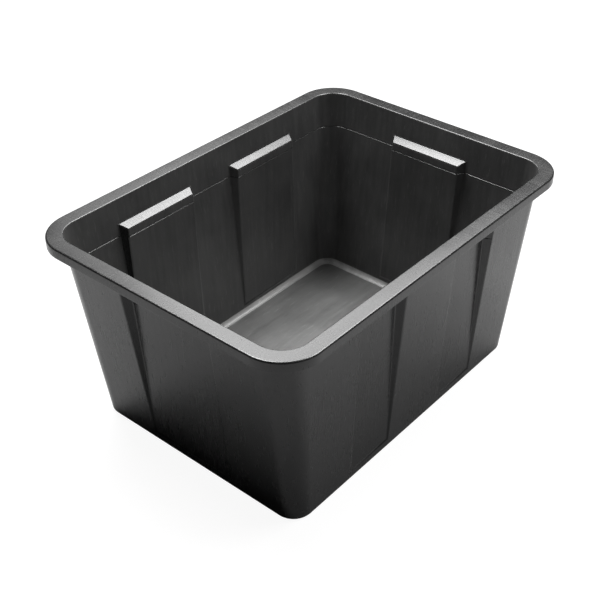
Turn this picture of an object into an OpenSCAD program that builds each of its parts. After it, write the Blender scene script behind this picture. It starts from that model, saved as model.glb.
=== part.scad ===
// Rectangular mortar mixing tub: one thin-walled moulding, drawn as its named sections,
// which meet face to face. X runs along the tub, Y across it, and Z up.
// The origin is the centre of the underside. Front is -Y and left is -X.

/* [Overall] */
// Length over the rim
tub_l = 630; // [520:1:760]
// Width over the rim
tub_w = 458; // [400:1:560]
// Height from the underside to the top of the rim
tub_h = 315; // [240:1:400]

/* [Body] */
// Wall thickness
wall_t = 3.5; // [2.5:0.1:5]
// Floor thickness
floor_t = 4; // [3:0.1:8]
// How far each end of the base stands in from the rim's edge
base_inset_l = 55; // [40:1:70]
// How far each long side of the base stands in from the rim's edge
base_inset_w = 39; // [34:1:60]
// Corner radius of the base
base_corner_r = 30; // [12:1:45]
// Corner radius of the mouth
mouth_corner_r = 39; // [30:1:60]

/* [Rim] */
// Width of the flat top of the rim along the sides
rim_w = 23; // [16:0.5:30]
// Thickness of the rim's flat top
rim_t = 3.5; // [2.5:0.1:5]
// Corner radius of the rim's outer edge
rim_corner_r = 60; // [35:1:70]
// Height of the rim, from its top to the bottom of the lip
lip_h = 15; // [8:0.5:25]
// Thickness of the downturned lip
lip_t = 2.8; // [2:0.1:4]
// Rounding of the rim's top outer edge
rim_edge_r = 2.6; // [1:0.1:2.8]

/* [Ribs] */
// Depth from the top of the rim to the back of each rib's ledge
ledge_drop = 38; // [25:1:70]
// How far each rib stands into the tub at its ledge
ledge_d = 13; // [5:0.5:18]
// How far the ledge falls towards its front edge
ledge_fall = 6; // [0:0.5:10]
// How far each rib stands in at its foot, where it fades into the wall
foot_d = 0.6; // [0.3:0.1:3]
// Height of the ribs' feet above the underside
foot_z = 14; // [10:1:40]
// How far each flank slopes in, from its root to the rib's face
flank_run = 7; // [3:0.5:12]
// How much narrower each rib is at its foot than at its ledge
foot_narrowing = 8; // [0:1:20]
// Width of the two ribs in the front wall, measured outside
front_rib_w = 95; // [80:1:130]
// Distance between the centres of the front wall's ribs
front_rib_pitch = 207; // [180:1:230]
// Width of the two ribs in the back wall, measured outside
back_rib_w = 136; // [80:1:150]
// Distance between the centres of the back wall's ribs
back_rib_pitch = 224; // [180:1:240]
// Width of the rib in the left end wall, measured outside
left_rib_w = 159; // [90:1:170]
// Width of the rib in the right end wall, measured outside
right_rib_w = 134; // [90:1:170]

/* [Hidden] */

tub_black = [0.07, 0.07, 0.075];
rib_black = [0.10, 0.10, 0.105];
rim_black = [0.14, 0.14, 0.145];

slice = 0.01;          // thickness of the slices that a hull joins
reach = 10;            // how far a cutting shape runs past what it cuts
rib_margin = 4;        // wall kept round each rib in the rib's own section
rib_clearance = 30;    // how far a rib's section runs in past its ledge
seam_margin = 1;       // how far the corner seams stand clear of the corner curves
flank_share = 0.85;    // share of the wall's thickness that a flank adds to a rib inside
corner_steps = 48;     // steps in a full turn of a corner curve
sweep_steps = 64;      // steps in a full turn of the rim's corners
edge_steps = 32;       // steps in a full turn of the rim's rounded edge

half_l = tub_l / 2;
half_w = tub_w / 2;
under_rim = tub_h - rim_t;
wall_inset = rim_w - wall_t;                  // outside of the wall at the very top
outer_top_r = mouth_corner_r + wall_t;
inner_base_r = base_corner_r - wall_t;
rib_skin = wall_t * flank_share;              // extra half width of a rib inside the tub
ledge_z = tub_h - ledge_drop;

// Where the straight walls end and the corner sections begin
seam_x = min(half_l - wall_inset - outer_top_r, half_l - base_inset_l - base_corner_r,
             half_l - rim_corner_r, half_l - rim_w - mouth_corner_r) - seam_margin;
seam_y = min(half_w - wall_inset - outer_top_r, half_w - base_inset_w - base_corner_r,
             half_w - rim_corner_r, half_w - rim_w - mouth_corner_r) - seam_margin;

// [distance from the middle to the wall's outside at the base, and at the top]
long_wall = [half_w - base_inset_w, half_w - wall_inset];
end_wall = [half_l - base_inset_l, half_l - wall_inset];

// Distance from the middle to the outside of a wall at height z
function wall_at(wall, z) = wall[0] + (wall[1] - wall[0]) * z / tub_h;

// A rounded rectangle
module rounded(l, w, r) {
    square([l - 2 * r, w], center = true);
    square([l, w - 2 * r], center = true);
    for (x = [-1, 1], y = [-1, 1])
        translate([x * (l / 2 - r), y * (w / 2 - r)]) circle(r, $fn = corner_steps);
}

// A solid that tapers from one rounded rectangle to a larger one above it
module tapered(low_z, low_inset, low_r, high_z, high_inset, high_r) {
    hull() {
        translate([0, 0, low_z]) linear_extrude(slice)
            rounded(tub_l - 2 * low_inset[0], tub_w - 2 * low_inset[1], low_r);
        translate([0, 0, high_z - slice]) linear_extrude(slice)
            rounded(tub_l - 2 * high_inset, tub_w - 2 * high_inset, high_r);
    }
}

module outer_body() {
    tapered(0, [base_inset_l, base_inset_w], base_corner_r, tub_h, wall_inset, outer_top_r);
}

module inner_body() {
    tapered(floor_t, [base_inset_l + wall_t, base_inset_w + wall_t], inner_base_r,
            tub_h, rim_w, mouth_corner_r);
}

// The plain drafted wall all round, without its ribs
module plain_shell() {
    difference() {
        outer_body();
        inner_body();
    }
}

// A block from one corner of space to another
module block(low, high) {
    translate(low) cube(high - low);
}

// The two ends of a line across a rib: half its width either side, at one depth and height
function across(half, y, z) = [[-half, y, z], [half, y, z]];

// The wedge that a rib takes out of a wall on the -Y side. skin is how far inside the wall's
// outer face the wedge starts, out is how far it runs back out from there, and wide and top
// are its width and height at its root.
module rib_wedge(wall, skin, out, wide, top) {
    face_top = top - ledge_fall;
    foot_half = (wide - foot_narrowing) / 2;
    top_y = skin - wall_at(wall, top);
    foot_y = skin - wall_at(wall, foot_z);
    face_y = skin + ledge_d - wall_at(wall, face_top);
    points = concat(
        across(wide / 2, top_y - out, top),                          // 0, 1: outside, top
        across(foot_half, foot_y - out, foot_z),                     // 2, 3: outside, foot
        across(wide / 2, top_y, top),                                // 4, 5: root of the ledge
        across(foot_half, foot_y, foot_z),                           // 6, 7: root at the foot
        across(wide / 2 - flank_run, face_y, face_top),              // 8, 9: top of the face
        across(foot_half - flank_run / 2, foot_y + foot_d, foot_z)   // 10, 11: foot of the face
    );
    polyhedron(points, [
        [0, 1, 3, 2], [1, 0, 4, 5], [5, 4, 8, 9], [9, 8, 10, 11],
        [2, 3, 7, 11, 10, 6], [3, 1, 5, 7], [0, 2, 6, 4],
        [7, 5, 9], [7, 9, 11], [4, 6, 8], [8, 6, 10]
    ]);
}

// The part of a -Y wall that one rib's section takes, from the floor to just over the ledge
module rib_zone(wall, wide) {
    half = wide / 2 + rib_skin + rib_margin;
    block([-half, -wall[1] - reach, floor_t],
          [half, ledge_d + rib_clearance - wall[0], ledge_z + rib_margin]);
}

// One rib in a -Y wall, centred on X: the wall's skin follows a wedge-shaped recess
module rib(wall, wide) {
    intersection() {
        rib_zone(wall, wide);
        difference() {
            union() {
                plain_wall_slab(wall);
                rib_wedge(wall, wall_t, wall_t / 2, wide + 2 * rib_skin, ledge_z);
            }
            rib_wedge(wall, 0, reach, wide, ledge_z - wall_t);
        }
    }
}

// A straight drafted wall on the -Y side, as thick as the moulding
module plain_wall_slab(wall) {
    rotate([90, 0, 90]) translate([0, 0, -tub_l / 2]) linear_extrude(tub_l)
        polygon([[-wall_at(wall, 0), 0], [-wall_at(wall, tub_h), tub_h],
                 [wall_t - wall_at(wall, tub_h), tub_h], [wall_t - wall_at(wall, 0), 0]]);
}

// One straight wall on the -Y side, with a gap left for the section of each of its ribs
module wall_section(wall, seam, ribs, wide) {
    difference() {
        intersection() {
            plain_wall_slab(wall);
            block([-seam, -wall[1] - reach, floor_t], [seam, 0, under_rim]);
        }
        for (x = ribs) translate([x, 0, 0]) rib_zone(wall, wide);
    }
}

// Turns a section that is drawn on the -Y side to another side
module to_back() { rotate([0, 0, 180]) children(); }
module to_left() { rotate([0, 0, -90]) children(); }
module to_right() { rotate([0, 0, 90]) children(); }

// Mirrors a section that is drawn at the back right corner to another corner
module at_corner(x, y) { mirror([x < 0 ? 1 : 0, 0, 0]) mirror([0, y < 0 ? 1 : 0, 0]) children(); }

// The conical corner of the body between two straight walls
module corner_section() {
    intersection() {
        plain_shell();
        block([seam_x, seam_y, floor_t], [half_l, half_w, under_rim]);
    }
}

// The flat plate of the rim with a rounded outer edge, cut through at right angles.
// It is drawn from the outer edge at x = 0 inwards to x = -wide.
module plate_profile(wide) {
    translate([-wide, tub_h - rim_t]) square([wide - rim_edge_r, rim_t]);
    translate([-rim_edge_r, tub_h - rim_t]) square([rim_edge_r, rim_t - rim_edge_r]);
    intersection() {
        translate([-rim_edge_r, tub_h - rim_edge_r]) circle(rim_edge_r, $fn = edge_steps);
        translate([-rim_edge_r, tub_h - rim_edge_r]) square(rim_edge_r);
    }
}

// The downturned lip, cut through at right angles
module lip_profile() {
    translate([-lip_t, tub_h - lip_h]) square([lip_t, lip_h - rim_t]);
}

// Draws one of the rim's profiles along the straight side on +X, between two places on Y
module along_side(low, high) {
    translate([half_l, high, 0]) rotate([90, 0, 0]) linear_extrude(high - low) children();
}

// A straight length of the rim's flat top on a -Y side. out is the half size across to it.
module rim_top_section(out, seam) {
    translate([-seam, -out, 0]) rotate([90, 0, 90]) mirror([1, 0, 0])
        linear_extrude(2 * seam) plate_profile(rim_w);
}

// A straight length of lip on a -Y side
module lip_section(out, seam) {
    translate([-seam, -out, 0]) rotate([90, 0, 90]) mirror([1, 0, 0])
        linear_extrude(2 * seam) lip_profile();
}

// The flat top of the rim at a corner, round outside and round inside
module rim_top_corner() {
    difference() {
        union() {
            translate([half_l - rim_corner_r, half_w - rim_corner_r, 0])
                rotate_extrude(angle = 90, $fn = sweep_steps) translate([rim_corner_r, 0])
                    plate_profile(rim_corner_r);
            along_side(seam_y, half_w - rim_corner_r) plate_profile(half_l - seam_x);
            translate([seam_x, half_w, 0]) rotate([90, 0, 90])
                linear_extrude(half_l - rim_corner_r - seam_x) plate_profile(half_w - seam_y);
        }
        translate([0, 0, under_rim - reach]) linear_extrude(rim_t + 2 * reach)
            rounded(tub_l - 2 * rim_w, tub_w - 2 * rim_w, mouth_corner_r);
    }
}

// The lip at a corner
module lip_corner() {
    translate([half_l - rim_corner_r, half_w - rim_corner_r, 0])
        rotate_extrude(angle = 90, $fn = sweep_steps) translate([rim_corner_r, 0]) lip_profile();
    along_side(seam_y, half_w - rim_corner_r) lip_profile();
    translate([seam_x, half_w, 0]) rotate([90, 0, 90])
        linear_extrude(half_l - rim_corner_r - seam_x) lip_profile();
}

front_ribs = [-front_rib_pitch / 2, front_rib_pitch / 2];
back_ribs = [-back_rib_pitch / 2, back_rib_pitch / 2];

module base_plate() {
    color(tub_black) intersection() {
        outer_body();
        block([-half_l, -half_w, 0], [half_l, half_w, floor_t]);
    }
}
module front_wall() { color(tub_black) wall_section(long_wall, seam_x, front_ribs, front_rib_w); }
module back_wall() { color(tub_black) to_back() wall_section(long_wall, seam_x, back_ribs, back_rib_w); }
module left_wall() { color(tub_black) to_left() wall_section(end_wall, seam_y, [0], left_rib_w); }
module right_wall() { color(tub_black) to_right() wall_section(end_wall, seam_y, [0], right_rib_w); }
module body_corner(x, y) { color(tub_black) at_corner(x, y) corner_section(); }

module front_rib(x) { color(rib_black) translate([front_ribs[x], 0, 0]) rib(long_wall, front_rib_w); }
module back_rib(x) {
    color(rib_black) translate([back_ribs[x], 0, 0]) to_back() rib(long_wall, back_rib_w);
}
module left_rib() { color(rib_black) to_left() rib(end_wall, left_rib_w); }
module right_rib() { color(rib_black) to_right() rib(end_wall, right_rib_w); }

module front_rim_top() { color(rim_black) rim_top_section(half_w, seam_x); }
module back_rim_top() { color(rim_black) to_back() rim_top_section(half_w, seam_x); }
module left_rim_top() { color(rim_black) to_left() rim_top_section(half_l, seam_y); }
module right_rim_top() { color(rim_black) to_right() rim_top_section(half_l, seam_y); }
module corner_rim_top(x, y) { color(rim_black) at_corner(x, y) rim_top_corner(); }

module front_lip() { color(tub_black) lip_section(half_w, seam_x); }
module back_lip() { color(tub_black) to_back() lip_section(half_w, seam_x); }
module left_lip() { color(tub_black) to_left() lip_section(half_l, seam_y); }
module right_lip() { color(tub_black) to_right() lip_section(half_l, seam_y); }
module corner_lip(x, y) { color(tub_black) at_corner(x, y) lip_corner(); }

base_plate();  // floor
front_wall();
back_wall();
left_wall();
right_wall();
body_corner(-1, -1);  // front_left_corner
body_corner(1, -1);  // front_right_corner
body_corner(1, 1);  // back_right_corner
body_corner(-1, 1);  // back_left_corner
front_rib(0);  // front_left_rib
front_rib(1);  // front_right_rib
back_rib(0);  // back_left_rib
back_rib(1);  // back_right_rib
left_rib();
right_rib();
front_rim_top();
back_rim_top();
left_rim_top();
right_rim_top();
corner_rim_top(-1, -1);  // front_left_rim_top
corner_rim_top(1, -1);  // front_right_rim_top
corner_rim_top(1, 1);  // back_right_rim_top
corner_rim_top(-1, 1);  // back_left_rim_top
front_lip();
back_lip();
left_lip();
right_lip();
corner_lip(-1, -1);  // front_left_lip
corner_lip(1, -1);  // front_right_lip
corner_lip(1, 1);  // back_right_lip
corner_lip(-1, 1);  // back_left_lip
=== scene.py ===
import math

import bpy
from mathutils import Matrix, Vector


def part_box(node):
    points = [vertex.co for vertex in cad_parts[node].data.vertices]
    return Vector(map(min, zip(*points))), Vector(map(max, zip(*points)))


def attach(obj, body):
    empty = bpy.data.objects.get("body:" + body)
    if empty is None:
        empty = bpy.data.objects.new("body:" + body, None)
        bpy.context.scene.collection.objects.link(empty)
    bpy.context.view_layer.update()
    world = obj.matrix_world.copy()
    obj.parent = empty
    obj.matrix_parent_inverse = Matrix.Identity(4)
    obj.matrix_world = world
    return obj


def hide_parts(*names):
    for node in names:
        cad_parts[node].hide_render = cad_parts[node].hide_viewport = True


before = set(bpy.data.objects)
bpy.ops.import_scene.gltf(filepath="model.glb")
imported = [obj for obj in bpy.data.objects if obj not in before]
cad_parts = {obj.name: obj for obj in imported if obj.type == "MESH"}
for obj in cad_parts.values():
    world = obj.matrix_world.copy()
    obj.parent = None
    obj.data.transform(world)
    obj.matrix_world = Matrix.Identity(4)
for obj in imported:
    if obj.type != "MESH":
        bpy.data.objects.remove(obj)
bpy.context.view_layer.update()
print("frame loaded with", len(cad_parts), "CAD nodes")

# Lengths are in metres and angles in degrees.
tubShape = {
    "wall": 0.0035,
    "baseInset": (0.055, 0.039),  # how far the base stands in from the rim's edge, ends and sides
    "baseRadius": 0.030,
    "wallInset": 0.0195,  # outside of the wall at the top, in from the rim's edge
    "mouthRadius": 0.039,
    "rimWidth": 0.023,
    "rimRadius": 0.060,
    "lipThickness": 0.0028,
    "cornerSteps": 18,
    "floorFillet": (0.009, 6),  # each rounding is its width and its number of steps
    "baseEdge": (0.004, 4),
    "mouthEdge": (0.0016, 3),
    "rimEdge": (0.0026, 4),
    "lipEdge": (0.0009, 2),
    "underRimEdge": (0.0012, 2),
    "seamDrop": 0.0565,  # from the rim's top down to the line round the inside
    "seamWidth": 0.0010,
    "seamDepth": 0.0006,
    "seamReach": 0.003,  # how far above the underside of the rim a wall face's middle may be
    "seamSteep": 0.6,  # faces that point up or down more than this are not walls
}

ribShape = {
    "ledgeDrop": 0.038,  # from the rim's top down to the back of each ledge
    "depth": 0.013,
    "fall": 0.006,  # how far a ledge slopes down to its front edge
    "flankRun": 0.007,
    "footDepth": 0.0005,
    "footHeight": 0.014,
    "footFade": 0.006,
    "footNarrowing": 0.008,
    "skinWiden": 0.00298,  # extra half width of a rib inside the tub
    "edge": 0.0017,
    "edgeSteps": 3,
}

# Each wall is turned about Z from the front. Its ribs have centres along it and one width.
wallRibs = {
    "front": {"turn": 0, "centres": (-0.1035, 0.1035), "width": 0.095},
    "back": {"turn": 180, "centres": (-0.112, 0.112), "width": 0.136},
    "left": {"turn": -90, "centres": (0,), "width": 0.159},
    "right": {"turn": 90, "centres": (0,), "width": 0.134},
}

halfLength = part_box("right_lip")[1].x
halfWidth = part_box("back_lip")[1].y
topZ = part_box("front_rim_top")[1].z
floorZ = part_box("floor")[1].z
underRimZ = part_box("front_rim_top")[0].z
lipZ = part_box("front_lip")[0].z
near = 0.00005  # how close counts as the same place
nearCurve = 4 * near  # on a rounded corner, or at a rib's corner before it is moved
nearRibEdge = 8 * near
nearSeam = near / 10
nearWall = 0.0004  # how far a face's middle may lie off the plane of its wall
squareOn = 0.97  # how square to the wall a face has to be


def editMode(on):
    bpy.ops.object.mode_set(mode="EDIT" if on else "OBJECT")


# Selects only the vertices, edges or faces that pass the test, and stays in edit mode
def pick(obj, kind, test):
    bpy.context.tool_settings.mesh_select_mode = [kind == k for k in ("VERT", "EDGE", "FACE")]
    editMode(True)
    bpy.ops.mesh.select_all(action="DESELECT")
    editMode(False)
    mesh = obj.data
    if kind == "VERT":
        for vertex in mesh.vertices:
            vertex.select = test(vertex.co)
    elif kind == "EDGE":
        for edge in mesh.edges:
            edge.select = test(*(mesh.vertices[i].co for i in edge.vertices))
    else:
        for face in mesh.polygons:
            face.select = test(face.center, face.normal)
    editMode(True)


def facesIn(c, n):
    return n.x * c.x + n.y * c.y < 0


# How far the outside of the walls stands in from the rim's edge at a height
def insetAt(z, side):
    base = tubShape["baseInset"][side]
    return base + (tubShape["wallInset"] - base) * z / topZ


# A ring is a rounded rectangle: (inset at the ends, inset at the sides, height, corner radius)
def tubRings():
    t = tubShape
    wallTop = t["mouthRadius"] + t["wall"]
    lipRadius = t["rimRadius"] - t["lipThickness"]
    return [
        (insetAt(floorZ, 0) + t["wall"], insetAt(floorZ, 1) + t["wall"], floorZ,
         t["baseRadius"] - t["wall"]),
        (t["rimWidth"], t["rimWidth"], topZ, t["mouthRadius"]),
        (0, 0, topZ, t["rimRadius"]),
        (0, 0, lipZ, t["rimRadius"]),
        (t["lipThickness"], t["lipThickness"], lipZ, lipRadius),
        (t["lipThickness"], t["lipThickness"], underRimZ, lipRadius),
        (insetAt(underRimZ, 0), insetAt(underRimZ, 1), underRimZ, wallTop),
        (*t["baseInset"], 0, t["baseRadius"]),
    ]


def addRing(ring, keepFace):
    insetEnds, insetSides, z, radius = ring
    bpy.ops.object.select_all(action="DESELECT")
    bpy.ops.mesh.primitive_plane_add(size=2, location=(0, 0, z))
    plane = bpy.context.object
    plane.scale = (halfLength - insetEnds, halfWidth - insetSides, 1)
    bpy.ops.object.transform_apply(location=True, rotation=False, scale=True)
    editMode(True)
    bpy.ops.mesh.select_all(action="SELECT")
    bpy.ops.mesh.bevel(offset=radius, offset_type="OFFSET", segments=tubShape["cornerSteps"],
                       profile=0.5, affect="VERTICES", clamp_overlap=False)
    if not keepFace:
        bpy.ops.mesh.select_all(action="SELECT")
        bpy.ops.mesh.delete(type="ONLY_FACE")
    editMode(False)
    return plane


# Joins a ring to the tub and bridges the two open edges. The ring is bridged a little too
# high and then lowered, because two rings at one height don't pair up corner to corner.
def bridgeRing(tub, ring, keepFace):
    lift = 0.02
    plane = addRing((ring[0], ring[1], ring[2] + lift, ring[3]), keepFace)
    bpy.ops.object.select_all(action="DESELECT")
    plane.select_set(True)
    tub.select_set(True)
    bpy.context.view_layer.objects.active = tub
    bpy.ops.object.join()
    bpy.context.tool_settings.mesh_select_mode = (False, True, False)
    editMode(True)
    bpy.ops.mesh.select_all(action="DESELECT")
    bpy.ops.mesh.select_non_manifold(extend=False, use_wire=True, use_boundary=True,
                                     use_multi_face=False, use_non_contiguous=False, use_verts=False)
    bpy.ops.mesh.bridge_edge_loops()
    pick(tub, "VERT", lambda p: abs(p.z - ring[2] - lift) < near)
    bpy.ops.transform.translate(value=(0, 0, -lift))
    editMode(False)


# Rounds the edges that run along one ring
def roundRing(tub, ring, width, steps):
    reachX, reachY = halfLength - ring[0] + near, halfWidth - ring[1] + near

    def onRing(p):
        if abs(p.z - ring[2]) > near or abs(p.x) > reachX or abs(p.y) > reachY:
            return False
        cornerX, cornerY = reachX - ring[3], reachY - ring[3]
        overX, overY = max(abs(p.x) - cornerX, 0), max(abs(p.y) - cornerY, 0)
        return abs(math.hypot(overX, overY) - ring[3]) < nearCurve

    pick(tub, "EDGE", lambda a, b: onRing(a) and onRing(b))
    bpy.ops.mesh.bevel(offset=width, offset_type="OFFSET", segments=steps, profile=0.5,
                       affect="EDGES", clamp_overlap=False)
    editMode(False)


# Presses one rib into one skin of a wall. skin is 0 for the outside, or the wall's thickness.
def pressRib(tub, wall, centre, skin):
    r = ribShape
    turned = Matrix.Rotation(math.radians(wall["turn"]), 3, "Z")
    back = turned.inverted()
    side = 1 if wall["turn"] in (0, 180) else 0
    outerHalf = halfWidth if side else halfLength
    widen = r["skinWiden"] if skin else 0
    ledgeZ = topZ - r["ledgeDrop"] - (0 if skin else tubShape["wall"])
    faceTop = ledgeZ - r["fall"]
    faceFoot = r["footHeight"] + r["footFade"]
    half = wall["width"] / 2 + widen
    footHalf = half - r["footNarrowing"] / 2

    def wallY(z):
        return insetAt(z, side) + skin - outerHalf

    def place(x, y, z):
        return turned @ Vector((centre + x, y, z))

    def rootHalf(z):
        share = (z - r["footHeight"]) / (ledgeZ - r["footHeight"])
        return footHalf + (half - footHalf) * share

    def inWall(c, n):
        flat = back @ c
        facing = (back @ n).y
        return (abs(flat.y - wallY(flat.z)) < nearWall and abs(facing) > squareOn
                and (facing > 0) == (skin > 0))

    def inRib(c, n):
        return inWall(c, n) and abs((back @ c).x - centre) < rootHalf(c.z)

    for way in (-1, 1):
        along = Vector((way * (half - footHalf), 0, ledgeZ - r["footHeight"])).normalized()
        pick(tub, "FACE", inWall)
        bpy.ops.mesh.bisect(plane_co=place(way * half, 0, ledgeZ),
                            plane_no=turned @ along.cross(Vector((0, 1, 0))), threshold=near)
    for z in (ledgeZ, r["footHeight"]):
        pick(tub, "FACE", inRib)
        bpy.ops.mesh.bisect(plane_co=(0, 0, z), plane_no=(0, 0, 1), threshold=near)

    pick(tub, "FACE", lambda c, n: inRib(c, n) and r["footHeight"] < c.z < ledgeZ)
    stand = turned @ Vector((0, r["depth"], 0))
    bpy.ops.mesh.extrude_region_move(TRANSFORM_OT_translate={"value": stand})
    root = [place(x, wallY(z), z) for x, z in
            ((-half, ledgeZ), (half, ledgeZ), (footHalf, r["footHeight"]), (-footHalf, r["footHeight"]))]
    faceHalf = half - r["flankRun"]
    faceFootHalf = footHalf - r["flankRun"] / 2
    face = [
        place(-faceHalf, wallY(faceTop) + r["depth"], faceTop),
        place(faceHalf, wallY(faceTop) + r["depth"], faceTop),
        place(faceFootHalf, wallY(faceFoot) + r["footDepth"], faceFoot),
        place(-faceFootHalf, wallY(faceFoot) + r["footDepth"], faceFoot),
    ]
    for start, goal in zip(root, face):
        pick(tub, "VERT", lambda p: (p - start - stand).length < nearCurve)
        bpy.ops.transform.translate(value=goal - start - stand)

    soft = [(root[0], root[1]), (root[1], root[2]), (root[3], root[0]), (face[0], face[1]),
            (face[1], face[2]), (face[3], face[0]), (root[0], face[0]), (root[1], face[1])]

    def isSoft(a, b):
        return any(min((a - c).length + (b - d).length, (a - d).length + (b - c).length) < nearRibEdge
                   for c, d in soft)

    pick(tub, "EDGE", isSoft)
    bpy.ops.mesh.bevel(offset=r["edge"], offset_type="OFFSET", segments=r["edgeSteps"], profile=0.5,
                       affect="EDGES", clamp_overlap=False)
    editMode(False)


# The fine line round the inside: two cuts a little apart, with the strip between pressed in
def cutSeam(tub):
    t = tubShape
    seamZ = topZ - t["seamDrop"]

    def innerWall(c, n):
        return floorZ < c.z < underRimZ + t["seamReach"] and facesIn(c, n) and abs(n.z) < t["seamSteep"]

    for z in (seamZ, seamZ - t["seamWidth"] / 2, seamZ - t["seamWidth"]):
        pick(tub, "FACE", innerWall)
        bpy.ops.mesh.bisect(plane_co=(0, 0, z), plane_no=(0, 0, 1), threshold=nearSeam)
    middle = seamZ - t["seamWidth"] / 2
    pick(tub, "VERT", lambda p: abs(p.z - middle) < nearSeam)
    bpy.ops.transform.shrink_fatten(value=-t["seamDepth"])
    editMode(False)


def addTub():
    rings = tubRings()
    tub = addRing(rings[0], True)
    tub.name = tub.data.name = "mortar_tub"
    for ring in rings[1:]:
        bridgeRing(tub, ring, ring is rings[-1])
    editMode(True)
    bpy.ops.mesh.select_all(action="SELECT")
    bpy.ops.mesh.normals_make_consistent(inside=False)
    editMode(False)
    t = tubShape
    roundings = (t["floorFillet"], t["mouthEdge"], t["rimEdge"], t["lipEdge"], t["lipEdge"],
                 t["underRimEdge"], t["underRimEdge"], t["baseEdge"])
    for ring, (width, steps) in zip(rings, roundings):
        roundRing(tub, ring, width, steps)
    print("tub shell:", len(tub.data.polygons), "faces")
    for name, wall in wallRibs.items():
        for centre in wall["centres"]:
            for skin in (0, t["wall"]):
                pressRib(tub, wall, centre, skin)
        print("ribs pressed in", name, "wall:", len(tub.data.polygons), "faces")
    cutSeam(tub)
    return tub


tub = addTub()


# A black plastic with its wear: cloudy tone, long streaks, fine scuffs and a moulded grain.
# Every pattern is laid out in metres on the tub itself.
wallFinish = {
    "dark": (0.007, 0.007, 0.0073),
    "light": (0.020, 0.020, 0.0198),
    "roughness": 0.24,
    "cloudScale": 9,
    "cloudRoughness": 0.10,
    "streakScale": 150,
    "streakStretch": (1, 1, 0.05),
    "streakRoughness": 0.07,
    "scuffScale": 420,
    "scuffStretch": (1, 1, 0.10),
    "scuffTurn": (12, 8, 0),
    "scuffRoughness": 0.10,
    "grainScale": 1500,
    "grainHeight": 0.35,
    "bumpDistance": 0.00016,
}

# The same plastic as the outside but lighter in colour: painted light on the inside walls
insidePaintedLightFinish = {
    **wallFinish,
    "dark": (0.034, 0.034, 0.0343),
    "light": (0.088, 0.088, 0.0865),
    "roughness": 0.40,
}

# Lighter still than the inside walls: partly the floor's scuffed wear, partly painted light on the floor
floorScuffAndPaintedLightFinish = {
    **wallFinish,
    "dark": (0.048, 0.048, 0.0475),
    "light": (0.118, 0.118, 0.116),
    "roughness": 0.52,
    "cloudScale": 14,
    "streakScale": 110,
    "streakStretch": (0.07, 1, 1),
    "streakRoughness": 0.12,
    "scuffStretch": (0.12, 1, 1),
    "scuffTurn": (0, 0, 7),
    "scuffRoughness": 0.16,
}

# Much lighter than the floor: a painted highlight along the fillet between the floor and the walls
filletPaintedHighlightFinish = {
    **floorScuffAndPaintedLightFinish,
    "dark": (0.150, 0.150, 0.148),
    "light": (0.330, 0.330, 0.325),
    "roughness": 0.40,
}

rimFinish = {
    **wallFinish,
    "light": (0.028, 0.028, 0.0275),
    "roughness": 0.25,
    "cloudScale": 22,
    "cloudRoughness": 0.06,
    "streakScale": 330,
    "streakStretch": (1, 0.06, 1),  # across the long sides, and turned for the ends
    "streakRoughness": 0.05,
    "scuffScale": 700,
    "scuffStretch": (1, 0.05, 1),
    "scuffTurn": (0, 0, 9),
    "scuffRoughness": 0.06,
    "grainHeight": 0.05,
    "bumpDistance": 0.000006,
}


# How the patterns are put together, the same in every finish
finishMix = {
    "ior": 1.5,
    "noiseRoughness": 0.55,
    "cloudDetail": 5.0,
    "streakDetail": 4.0,
    "scuffDetail": 2.0,
    "grainDetail": 1.0,
    "softRange": (0.3, 0.7),  # the part of a noise's range that clouds and streaks use
    "scuffRange": (0.62, 0.72),  # only the peaks of the noise show as scuffs
    "cloudTone": 0.45,
    "streakTone": 0.3,
    "scuffTone": 0.5,
    "streakHeight": 0.6,
    "scuffHeight": -0.35,
    "bumpStrength": 0.6,
    "cornerTurn": 40,  # how fast the rim's streaks turn at a corner, per metre
}


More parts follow.
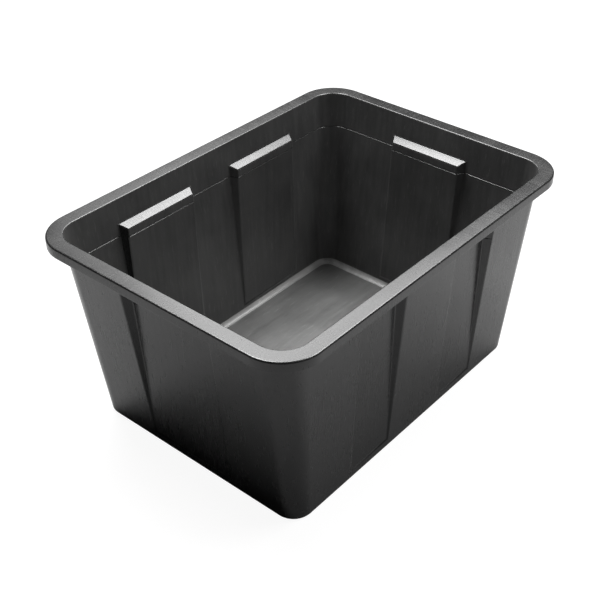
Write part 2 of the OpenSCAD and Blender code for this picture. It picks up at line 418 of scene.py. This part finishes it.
def addFinish(name, look, followsRim):
    m = finishMix
    material = bpy.data.materials.new(name)
    material.use_nodes = True
    nodes, links = material.node_tree.nodes, material.node_tree.links
    shader = nodes["Principled BSDF"]
    shader.inputs["IOR"].default_value = m["ior"]
    place = nodes.new("ShaderNodeTexCoord").outputs["Object"]

    def mathNode(operation, a, b=0.0, c=None, clamp=False):
        node = nodes.new("ShaderNodeMath")
        node.operation = operation
        node.use_clamp = clamp
        for socket, value in zip(node.inputs, (a, b, c)):
            if isinstance(value, (int, float)):
                socket.default_value = value
            elif value is not None:
                links.new(value, socket)
        return node.outputs[0]

    def noise(scale, detail, stretch=(1, 1, 1), turn=(0, 0, 0)):
        mapping = nodes.new("ShaderNodeMapping")
        mapping.inputs["Scale"].default_value = stretch
        mapping.inputs["Rotation"].default_value = [math.radians(a) for a in turn]
        links.new(place, mapping.inputs["Vector"])
        texture = nodes.new("ShaderNodeTexNoise")
        texture.inputs["Scale"].default_value = scale
        texture.inputs["Detail"].default_value = detail
        texture.inputs["Roughness"].default_value = m["noiseRoughness"]
        links.new(mapping.outputs["Vector"], texture.inputs["Vector"])
        return texture.outputs["Fac"]

    def spread(value, low, high):
        node = nodes.new("ShaderNodeMapRange")
        node.inputs["From Min"].default_value = low
        node.inputs["From Max"].default_value = high
        links.new(value, node.inputs["Value"])
        return node.outputs["Result"]

    # A stretched noise. On the rim it turns at the corners, to run across the ends as well as
    # the sides. A Mix node's sockets 2 and 3 are its two numbers, and 6 and 7 its two colours.
    def pattern(scale, detail, stretch, turn):
        across = noise(scale, detail, stretch, turn)
        if not followsRim:
            return across
        ends = noise(scale, detail, (stretch[1], stretch[0], stretch[2]), turn)
        split = nodes.new("ShaderNodeSeparateXYZ")
        links.new(place, split.inputs[0])
        pastSides = mathNode("SUBTRACT", mathNode("ABSOLUTE", split.outputs["X"]),
                             mathNode("ABSOLUTE", split.outputs["Y"]))
        atCorner = -m["cornerTurn"] * (halfLength - halfWidth) + 0.5
        onEnd = mathNode("MULTIPLY_ADD", pastSides, m["cornerTurn"], atCorner, clamp=True)
        mix = nodes.new("ShaderNodeMix")
        links.new(onEnd, mix.inputs["Factor"])
        links.new(across, mix.inputs[2])
        links.new(ends, mix.inputs[3])
        return mix.outputs[0]

    cloud = spread(noise(look["cloudScale"], m["cloudDetail"]), *m["softRange"])
    streakNoise = pattern(look["streakScale"], m["streakDetail"], look["streakStretch"], (0, 0, 0))
    streak = spread(streakNoise, *m["softRange"])
    scuffNoise = pattern(look["scuffScale"], m["scuffDetail"], look["scuffStretch"], look["scuffTurn"])
    scuff = spread(scuffNoise, *m["scuffRange"])
    grain = noise(look["grainScale"], m["grainDetail"])

    smoothest = look["roughness"] - look["cloudRoughness"] / 2 - look["streakRoughness"] / 2
    rough = mathNode("MULTIPLY_ADD", cloud, look["cloudRoughness"], smoothest)
    rough = mathNode("MULTIPLY_ADD", streak, look["streakRoughness"], rough)
    rough = mathNode("MULTIPLY_ADD", scuff, look["scuffRoughness"], rough)
    links.new(rough, shader.inputs["Roughness"])

    tone = mathNode("MULTIPLY_ADD", cloud, m["cloudTone"], mathNode("MULTIPLY", streak, m["streakTone"]))
    tone = mathNode("MULTIPLY_ADD", scuff, m["scuffTone"], tone, clamp=True)
    colour = nodes.new("ShaderNodeMix")
    colour.data_type = "RGBA"
    colour.inputs[6].default_value = (*look["dark"], 1)
    colour.inputs[7].default_value = (*look["light"], 1)
    links.new(tone, colour.inputs["Factor"])
    links.new(colour.outputs[2], shader.inputs["Base Color"])

    height = mathNode("MULTIPLY_ADD", streak, m["streakHeight"],
                      mathNode("MULTIPLY", grain, look["grainHeight"]))
    height = mathNode("MULTIPLY_ADD", scuff, m["scuffHeight"], height)
    bump = nodes.new("ShaderNodeBump")
    bump.inputs["Strength"].default_value = m["bumpStrength"]
    bump.inputs["Distance"].default_value = look["bumpDistance"]
    links.new(height, bump.inputs["Height"])
    links.new(bump.outputs["Normal"], shader.inputs["Normal"])
    return material


# Every face starts with the first finish
tubFinishes = {
    "wallPlastic": wallFinish,
    "insidePaintedLight": insidePaintedLightFinish,
    "floorScuffAndPaintedLight": floorScuffAndPaintedLightFinish,
    "rimPlastic": rimFinish,
    "filletPaintedHighlight": filletPaintedHighlightFinish,
}
for name, look in tubFinishes.items():
    tub.data.materials.append(addFinish(name, look, name == "rimPlastic"))

# Which faces take which finish, by their place and by how far they point up
finishZones = {
    "insideTop": lipZ + 0.02,
    "insideMargin": 0.018,  # how far the inside is from the rim's edge
    "insideUp": -0.1,
    "levelUp": 0.995,
    "filletUp": 0.30,
    "filletTop": floorZ + 0.012,
    "rimUp": 0.5,
    "ledgesFrom": topZ - 0.06,
}


def isInsidePaintedLight(c, n):
    z = finishZones
    return (floorZ < c.z < z["insideTop"] and facesIn(c, n) and n.z > z["insideUp"]
            and abs(c.x) < halfLength - z["insideMargin"]
            and abs(c.y) < halfWidth - z["insideMargin"])


def isFloorScuffAndPaintedLight(c, n):
    return n.z > finishZones["levelUp"] and c.z < finishZones["filletTop"]


# The fillet faces that carry the painted highlight
def isFilletPaintedHighlight(c, n):
    z = finishZones
    return z["filletUp"] < n.z < z["levelUp"] and floorZ < c.z < z["filletTop"] and facesIn(c, n)


def isRimOrLedge(c, n):
    return n.z > finishZones["rimUp"] and c.z > finishZones["ledgesFrom"]


def assignFinish(name, test):
    pick(tub, "FACE", test)
    tub.active_material_index = list(tubFinishes).index(name)
    bpy.ops.object.material_slot_assign()
    editMode(False)


# The inside is duller than the outside and lighter in colour, as painted light; the floor is more
# scuffed and lighter still, partly painted light;
# the fillet round it is lighter, as a painted highlight; and the rim and ledges are smoother
assignFinish("insidePaintedLight", isInsidePaintedLight)
assignFinish("floorScuffAndPaintedLight", isFloorScuffAndPaintedLight)
assignFinish("filletPaintedHighlight", isFilletPaintedHighlight)
assignFinish("rimPlastic", isRimOrLedge)
print("finishes:", ", ".join(tubFinishes))

smoothAngle = 40  # edges sharper than this stay sharp
normalWeight = 50  # how much a large face pulls the shading its way

bpy.ops.object.select_all(action="DESELECT")
tub.select_set(True)
bpy.context.view_layer.objects.active = tub
bpy.ops.object.shade_smooth_by_angle(angle=math.radians(smoothAngle))
bpy.ops.object.modifier_add(type="WEIGHTED_NORMAL")
weighted = tub.modifiers[-1]
weighted.keep_sharp = True
weighted.weight = normalWeight
bpy.ops.object.modifier_apply(modifier=weighted.name)

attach(tub, "root")
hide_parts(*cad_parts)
print("tub in place")

# Azimuth 0 looks along +Y. The shift is what the framing needs.
view = {
    "azimuth": -51.04,
    "elevation": 35.93,
    "roll": 0.592,
    "aim": (-0.0508, -0.0754, 0.1998),
    "distance": 1.490,
    "lens": 64.21,  # millimetres, as is the sensor
    "sensor": 36,
    "shift": (-0.05097, 0.00245),
    "clip": (0.05, 60),
}


def addCamera():
    az, el = math.radians(view["azimuth"]), math.radians(view["elevation"])
    away = Vector((math.sin(az) * math.cos(el), -math.cos(az) * math.cos(el), math.sin(el)))
    bpy.ops.object.camera_add(location=Vector(view["aim"]) + away * view["distance"])
    camera = bpy.context.object
    camera.name = "camera"
    turn = (-away).to_track_quat("-Z", "Y").to_matrix()
    camera.rotation_euler = (turn @ Matrix.Rotation(math.radians(view["roll"]), 3, "Z")).to_euler()
    camera.data.lens = view["lens"]
    camera.data.sensor_width = view["sensor"]
    camera.data.shift_x, camera.data.shift_y = view["shift"]
    camera.data.clip_start, camera.data.clip_end = view["clip"]
    bpy.context.scene.camera = camera


# Soft lights round the tub: (azimuth from +X, elevation, distance, width, height, brightness)
softboxes = {
    "rightBox": (0, 60, 2.2, 0.75, 0.8, 22),
    "backBox": (70, 63, 2.2, 1.15, 0.7, 18),
    "rearBox": (33, 45, 2.2, 1.5, 0.6, 7.5),
    "lowRearBox": (52, 34, 2.2, 1.0, 0.5, 2.2),
    "frontBox": (312, 60, 2.2, 0.9, 0.6, 18),
    "topBox": (96, 71, 2.2, 1.0, 0.7, 17),
}
lightAim = (0, 0, 0.2)


def addSoftbox(name, azimuth, elevation, distance, width, height, brightness):
    az, el = math.radians(azimuth), math.radians(elevation)
    towards = Vector((math.cos(az) * math.cos(el), math.sin(az) * math.cos(el), math.sin(el)))
    bpy.ops.object.light_add(type="AREA", location=Vector(lightAim) + towards * distance)
    lamp = bpy.context.object
    lamp.name = name
    lamp.data.shape = "RECTANGLE"
    lamp.data.size, lamp.data.size_y = width, height
    lamp.data.energy = math.pi * width * height * brightness
    lamp.rotation_euler = towards.to_track_quat("Z", "Y").to_euler()


addCamera()
for name, box in softboxes.items():
    addSoftbox(name, *box)
print("camera and", len(softboxes), "softboxes placed")

studio = {
    "roomStrength": 0.03,
    "paperSize": 30,
    "paperDrop": 0.0002,  # how far the paper lies below the tub
    "paperTone": 0.40,  # pale grey, as the tub sees it
    "paperGlow": 0.93,  # near white, as the camera sees it
    "shadowTone": 0.12,  # the small share that still shows a shadow
}


# The camera sees plain white behind the tub, and the room itself is dim
def addRoom():
    room = bpy.data.worlds.new("studio")
    room.use_nodes = True
    bpy.context.scene.world = room
    nodes, links = room.node_tree.nodes, room.node_tree.links
    dim = nodes["Background"]
    dim.inputs["Color"].default_value = (1, 1, 1, 1)
    dim.inputs["Strength"].default_value = studio["roomStrength"]
    seen = nodes.new("ShaderNodeBackground")
    seen.inputs["Color"].default_value = (1, 1, 1, 1)
    mix = nodes.new("ShaderNodeMixShader")
    links.new(nodes.new("ShaderNodeLightPath").outputs["Is Camera Ray"], mix.inputs["Fac"])
    links.new(dim.outputs[0], mix.inputs[1])
    links.new(seen.outputs[0], mix.inputs[2])
    links.new(mix.outputs[0], nodes["World Output"].inputs["Surface"])


def addPaperMaterial():
    paper = bpy.data.materials.new("studioPaper")
    paper.use_nodes = True
    nodes, links = paper.node_tree.nodes, paper.node_tree.links
    nodes.remove(nodes["Principled BSDF"])

    def diffuse(tone):
        node = nodes.new("ShaderNodeBsdfDiffuse")
        node.inputs["Color"].default_value = (tone, tone, tone, 1)
        return node.outputs[0]

    white = nodes.new("ShaderNodeEmission")
    white.inputs["Color"].default_value = (1, 1, 1, 1)
    white.inputs["Strength"].default_value = studio["paperGlow"]
    glow = nodes.new("ShaderNodeAddShader")
    links.new(white.outputs[0], glow.inputs[0])
    links.new(diffuse(studio["shadowTone"]), glow.inputs[1])
    mix = nodes.new("ShaderNodeMixShader")
    links.new(nodes.new("ShaderNodeLightPath").outputs["Is Camera Ray"], mix.inputs["Fac"])
    links.new(diffuse(studio["paperTone"]), mix.inputs[1])
    links.new(glow.outputs[0], mix.inputs[2])
    links.new(mix.outputs[0], nodes["Material Output"].inputs["Surface"])
    return paper


# The paper is pale grey to the tub, and near white to the camera with only a faint shadow
def addStudioFloor():
    bpy.ops.mesh.primitive_plane_add(size=studio["paperSize"], location=(0, 0, -studio["paperDrop"]))
    floor = bpy.context.object
    floor.name = "studioFloor"
    floor.data.materials.append(addPaperMaterial())


addRoom()
addStudioFloor()
bpy.context.scene.view_settings.view_transform = "Standard"
print("studio in place")
